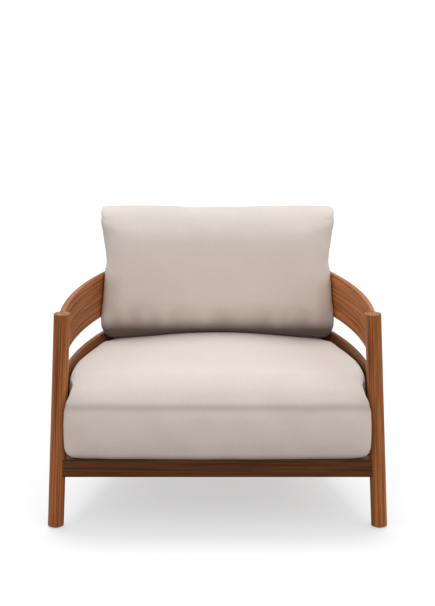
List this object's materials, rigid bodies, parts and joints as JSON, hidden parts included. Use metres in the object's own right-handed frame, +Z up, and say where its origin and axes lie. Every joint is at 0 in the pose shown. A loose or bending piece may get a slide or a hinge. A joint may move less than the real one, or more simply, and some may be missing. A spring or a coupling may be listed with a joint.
{
  "type": "garden lounge chair",
  "caption": "Low garden lounge chair with leaning round posts, bent timber bands for arms and back, a slatted deck and loose seat and back cushions.",
  "frame": {"origin": "on the floor, under the middle of the chair's length and width", "axes": "+X to the right as seen from the front, +Y from the front to the back, +Z up"},
  "size_m": [0.9166, 0.7379, 0.7833],
  "materials": {
    "timber": "oiled hardwood, satin",
    "fabric": "woven outdoor cloth, matt",
    "filling": "foam and fibre, matt",
    "glide": "moulded plastic, matt",
    "zip_tape": "woven tape with a moulded chain, matt",
    "zip_metal": "plain metal, satin"
  },
  "bodies": {
    "frame": {"arm_band_left": "timber", "arm_band_right": "timber", "arm_band_back": "timber", "lower_band_left": "timber", "lower_band_right": "timber", "lower_band_back": "timber", "front_leg_left": "timber", "front_leg_right": "timber", "rear_leg_left": "timber", "rear_leg_right": "timber", "side_rail_left": "timber", "side_rail_right": "timber", "slat_cleat_left": "timber", "slat_cleat_right": "timber", "front_rail": "timber", "back_rail": "timber", "deck_bearer": "timber", "deck_slat_1": "timber", "deck_slat_2": "timber", "deck_slat_3": "timber", "deck_slat_4": "timber", "deck_slat_5": "timber", "deck_slat_6": "timber", "deck_slat_7": "timber", "deck_slat_8": "timber", "foot_glides": "glide"},
    "seat_cushion": {"seat_cover": "fabric", "seat_foam": "filling", "seat_zip": "zip_tape"},
    "back_cushion": {"back_cover": "fabric", "back_filling": "filling", "back_zip": "zip_tape"},
    "seat_zip_slider": {"seat_zip_slider": "zip_metal"},
    "back_zip_slider": {"back_zip_slider": "zip_metal"}
  },
  "joints": [
    {"name": "seat_cushion_lift", "type": "slide", "parent": "frame", "child": "seat_cushion", "axis": [0, 0, 1], "range_m": [0, 0.45]},
    {"name": "back_cushion_lift", "type": "slide", "parent": "seat_cushion", "child": "back_cushion", "axis": [0, 0, 1], "range_m": [0, 0.3]},
    {"name": "seat_zip_slide", "type": "slide", "parent": "seat_cushion", "child": "seat_zip_slider", "axis": [1, 0, 0], "range_m": [0, 0.4]},
    {"name": "back_zip_slide", "type": "slide", "parent": "back_cushion", "child": "back_zip_slider", "axis": [1, 0, 0], "range_m": [0, 0.4]}
  ]
}
